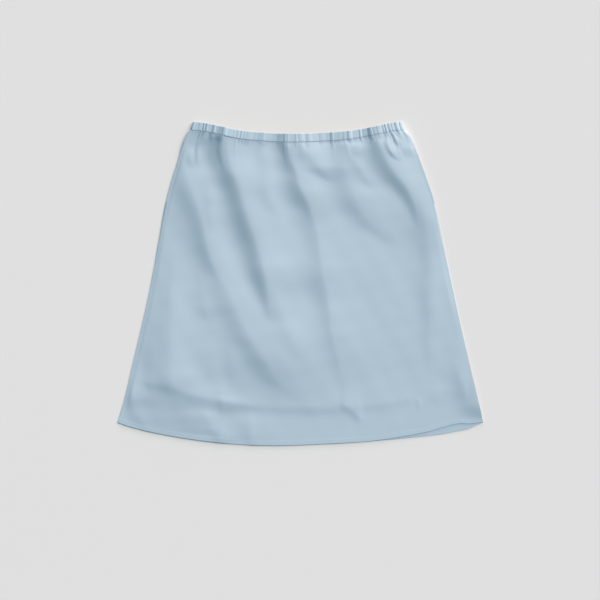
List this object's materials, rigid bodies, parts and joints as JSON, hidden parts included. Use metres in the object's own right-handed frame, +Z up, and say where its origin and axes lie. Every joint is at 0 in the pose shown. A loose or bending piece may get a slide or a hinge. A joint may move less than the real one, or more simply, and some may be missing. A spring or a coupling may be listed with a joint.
{
  "type": "slip skirt",
  "caption": "Pale blue satin slip skirt laid flat: A-line front and back panels gathered into a narrow ruched elastic waistband, the front hem lifted at one corner.",
  "frame": {"origin": "the middle of the skirt's outline, on the surface that it lies on", "axes": "+X across the skirt, to the right as seen from above with the waist at the top; +Y from the hem to the waist; +Z up, out of the front panel"},
  "size_m": [0.548, 0.4859, 0.0134],
  "materials": {
    "satin_front": "pale blue satin, soft sheen",
    "satin_back": "pale blue satin, matt inside",
    "satin_waistband": "pale blue satin, ruched over elastic"
  },
  "bodies": {
    "root": {"front_panel": "satin_front", "back_panel": "satin_back", "waistband_front": "satin_waistband", "waistband_back": "satin_waistband"}
  },
  "joints": []
}
